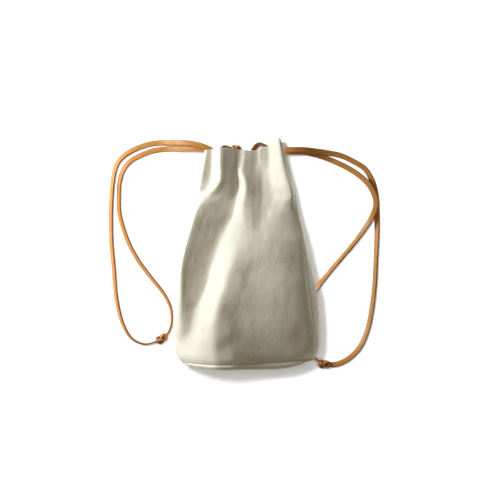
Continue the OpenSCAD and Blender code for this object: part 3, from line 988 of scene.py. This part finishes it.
def stitch_row(name, ends, radius, material):
    """Short rounded stitches, each from one point to another."""
    outline = circle(8)
    points = []
    faces = []
    for start, end in ends:
        first = len(points)
        way = unit(end - start)
        side = unit(np.cross(way, (0.3, 0.2, 1.0)))
        up = np.cross(way, side)
        for along, share in ((0.0, 0.5), (0.1, 1.0), (0.9, 1.0), (1.0, 0.5)):
            middle = start + (end - start) * along
            points += [middle + (side * a + up * b) * radius * share for a, b in outline]
        for r in range(3):
            for j in range(8):
                k = (j + 1) % 8
                faces.append(tuple(first + v for v in (r * 8 + j, r * 8 + k, r * 8 + 8 + k, r * 8 + 8 + j)))
        faces.append(tuple(first + j for j in range(7, -1, -1)))
        faces.append(tuple(first + 24 + j for j in range(8)))
    return new_piece(name, points, faces, material)


def seam_stitches(name, grid, column, thread):
    """The stitches down the middle of a side seam's tape."""
    normals = grid_normals(grid)
    rows = slice(int((-174 - BASE_Y) / ROW_STEP), int((124 - BASE_Y) / ROW_STEP))
    line = inner_surface(grid, normals, LEATHER + TAPE_GAP + TAPE_THICKNESS)[rows, column]
    return stitch_row(name, stitches_along(line), THREAD_RADIUS, thread)


def facing_stitches(name, y, z, sag, thread):
    """The stitches that hold a facing to the inside of the neck."""
    ends = []
    for x in np.arange(-50, 50, STITCH_PITCH):
        height = z - sag * abs(x / NECK_HALF_WIDTH) ** 3
        ends.append([[x, y, height], [x + STITCH_LENGTH, y, height]])
    return stitch_row(name, np.array(ends), FINE_THREAD_RADIUS, thread)


TUNNEL_LACE_THICKNESS = 2.6
TUNNEL_LACE_STEPS = 60


def tunnel_lace(name, left, right, y, z, sag, material):
    """The flat lace inside a facing, from the left to the right side of the neck."""
    xs = np.linspace(left, right, TUNNEL_LACE_STEPS)
    heights = z - sag * np.abs(xs / NECK_HALF_WIDTH) ** 3
    centres = np.stack([xs, np.full(TUNNEL_LACE_STEPS, y), heights], axis=1)
    across, up = frames_along(centres, np.zeros(TUNNEL_LACE_STEPS))
    outline, edge = rounded_bar(LACE_WIDTH, TUNNEL_LACE_THICKNESS)
    return sweep(name, centres, across, up, outline, edge, material)


# The lace above the front rim: x, y and z in mm, and the roll of the flat face in degrees
MOUTH_LEFT = [
    (-52, 170, 8, 55), (-47, 182, 9.5, 55), (-40, 187.5, 10.5, 62), (-32, 186, 10.5, 70), (-26, 183, 9.5, 75),
]
MOUTH_RIGHT = [
    (7, 168, 8, 40), (10.5, 181, 9.5, 40), (15.5, 189, 11, 48), (21.5, 192.5, 12, 60), (28, 191, 12, 70),
    (35, 187.5, 11, 72), (43, 181, 10, 72), (48, 172, 9, 72),
]
MOUTH_KNOT_CENTRE = (-19.5, 184.5, 9.5)
MOUTH_LACE_WIDTH = 8.4


def mouth_lace(name, route, material):
    dense = curve_through(route, 1.0)
    across, up = frames_along(dense[:, :3], dense[:, 3])
    outline, edge = rounded_bar(MOUTH_LACE_WIDTH, LACE_THICKNESS, crown=0.3)
    return sweep(name, dense[:, :3], across, up, outline, edge, material)


# ---- floor, light and picture


def make_stage():
    n = Nodes("white_surface")
    place = n.coordinates()
    grain = n.noise(place, 40.0)
    tone = n.blend(grain, (0.955, 0.955, 0.955), (0.965, 0.965, 0.965))
    material = n.finish(tone, 0.9, Specular_IOR_Level=0.0)
    half = 3000
    corners = [(-half, -half, 0), (half, -half, 0), (half, half, 0), (-half, half, 0)]
    floor = new_piece("floor", corners, [(0, 1, 2, 3)], material)
    return floor


def linked_group(name, pieces, include):
    """A collection for light linking that takes in these pieces alone, or all but these."""
    group = bpy.data.collections.new(name)
    for piece in pieces:
        group.objects.link(piece)
    for entry in group.collection_objects:
        entry.light_linking.link_state = "INCLUDE" if include else "EXCLUDE"
    return group


def area_light(name, place, size, power, colour, only=(), never=(), unshaded_by=()):
    """A round lamp that points at the bag. It may light only some pieces, skip some, or pass through some."""
    data = bpy.data.lights.new(name, "AREA")
    data.shape = "DISK"
    data.size = size
    data.energy = power
    data.color = colour
    light = bpy.data.objects.new(name, data)
    light.location = place
    light.rotation_euler = (LIGHT_TARGET - Vector(place)).to_track_quat("-Z", "Y").to_euler()
    bpy.context.scene.collection.objects.link(light)
    light.light_linking.receiver_collection = linked_group(name + "_receivers", only or never, bool(only))
    if unshaded_by:
        light.light_linking.blocker_collection = linked_group(name + "_blockers", unshaded_by, False)


LIGHT_TARGET = Vector((0, 0, 0.04))


def make_lights(floor, bag, straps):
    window = ((-0.95, 0.42, 0.50), 0.36, 16.5, (0.97, 1.0, 1.06))
    area_light("window", *window, never=[floor, *straps])
    area_light("window_on_straps", *window, only=straps, unshaded_by=bag)
    area_light("room", (0.0, 0.0, 2.2), 2.6, 10.0, (1.0, 0.88, 0.62), never=[floor])
    area_light("floor_key", (-0.65, 0.52, 2.4), 0.5, 55, (1, 1, 1), only=[floor])
    area_light("floor_fill", (0.0, 0.0, 2.6), 2.8, 50, (1, 1, 1), only=[floor])
    world = bpy.data.worlds.new("world")
    world.use_nodes = True
    background = world.node_tree.nodes["Background"]
    background.inputs["Color"].default_value = (1, 0.93, 0.8, 1)
    background.inputs["Strength"].default_value = 0.06
    bpy.context.scene.world = world
    bpy.context.scene.view_settings.view_transform = "Standard"
    bpy.context.scene.view_settings.look = "None"
    bpy.context.scene.view_settings.exposure = 0.0


# ---- putting it together


def settle(piece, node, body=None):
    """Hides the CAD node the piece stands for. It rides on the body if one is named, or else its place is baked
    into its mesh.
    """
    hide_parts(node)
    if body is None:
        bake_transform(piece)
    else:
        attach(piece, body)


def make_panels(surface, left_seam, cream, flesh):
    """The leather that shows: front, back and base. Gives the surface that the pieces inside follow too."""
    grid, (front, back) = make_skins(surface, left_seam, cream, flesh)
    base = make_base(grid, cream)
    for piece, node in ((front, "front_panel"), (back, "back_panel"), (base, "base_panel")):
        settle(piece, node)
    return grid, front, back, base


def fit_base(grid, flesh, board, thread):
    """What lies inside the base: the welt, the stiffener and the seam's thread."""
    settle(make_welt(grid, flesh), "base_welt")
    settle(make_board(grid, board), "base_board")
    ends = stitches_along(base_seam_line(grid, 0.93, 1.2))
    settle(stitch_row("base_seam_thread", ends, THREAD_RADIUS, thread), "base_stitches")


def fit_side_seams(grid, left_seam, flesh, thread):
    """The thread and the tape inside both side seams."""
    sides = (("left", left_seam), ("right", 0))
    for side, column in sides:
        row = seam_stitches(side + "_seam_thread", grid, column, thread)
        settle(row, side + "_seam_stitches")
    for side, column in sides:
        tape = seam_tape(side + "_seam_tape_skin", grid, column, flesh)
        settle(tape, side + "_seam_tape")


def fit_facings(flesh):
    """The bands inside the rim that make a tunnel for the lace."""
    facing = band("front_facing_skin", -62, 58, FRONT_FACING_SECTION, FRONT_FACING_ROWS, 4.0, flesh)
    settle(facing, "front_rim_facing", "front")
    facing = band("back_facing_skin", -56, 54, BACK_FACING_SECTION, BACK_FACING_ROWS, -4.5, flesh)
    settle(facing, "back_rim_facing", "root")


def thread_tunnels(lace, thread):
    """The lace inside both facings, and the stitches that hold the facings."""
    for name, node, body, left, right, y, z, sag in (
        ("front_tunnel_lace", "front_neck_lace", "front", -58, 54, 165, 22.9, 3.6),
        ("back_tunnel_lace", "back_neck_lace", "root", -54, 50, 160, 4.2, -5.0),
    ):
        settle(tunnel_lace(name, left, right, y, z, sag, lace), node, body)
    for name, node, body, y, z, sag in (
        ("front_facing_thread", "front_facing_stitches", "front", 151.5, 19.3, 4.0),
        ("back_facing_thread", "back_facing_stitches", "root", 150.5, 6.8, -5.0),
    ):
        settle(facing_stitches(name, y, z, sag, thread), node, body)


def lace_mouth(knot_lace, painted_shade_core):
    """The two low arches of lace above the front rim, and their woven knot."""
    for name, node, route in (
        ("mouth_loop_left", "mouth_lace_left", MOUTH_LEFT),
        ("mouth_loop_right", "mouth_lace_right", MOUTH_RIGHT),
    ):
        settle(mouth_lace(name, route, knot_lace), node, "root")
    centre = np.array(MOUTH_KNOT_CENTRE)
    # inside is the knot's painted-shade core, a dark rod for the shade between its strands.
    knot, inside = make_knot("mouth_woven_knot", centre, 0, knot_lace, painted_shade_core, **MOUTH_KNOT)
    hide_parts("mouth_knot")
    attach(knot, "root")
    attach(inside, "root")


def make_bag(cream, flesh, lace, knot_lace, painted_shade_core, board, thread):
    """Everything but the straps. Gives the three panels, which the lamp for the straps passes through."""
    surface, left_seam = bag_surface()
    grid, front, back, base = make_panels(shape_skin(surface), left_seam, cream, flesh)
    fit_base(grid, flesh, board, thread)
    fit_side_seams(grid, left_seam, flesh, thread)
    fit_facings(flesh)
    thread_tunnels(lace, thread)
    lace_mouth(knot_lace, painted_shade_core)
    return [front, back, base]


def main():
    make_camera()
    cream = cream_leather()
    flesh = flesh_side()
    lace = tan_lace("tan_lace", (0.61, 0.295, 0.075), (0.42, 0.165, 0.032), (0.25, 0.085, 0.017))
    knot_lace = tan_lace("knot_lace", (0.60, 0.27, 0.09), (0.33, 0.125, 0.035), (0.15, 0.05, 0.013))
    board = leatherboard()
    thread = waxed_thread()
    # The painted-shade material for the dark core inside each knot.
    painted_shade_core = knot_painted_shade()
    straps = make_straps(lace, knot_lace, painted_shade_core)
    bag = make_bag(cream, flesh, lace, knot_lace, painted_shade_core, board, thread)
    make_lights(make_stage(), bag, straps)


main()
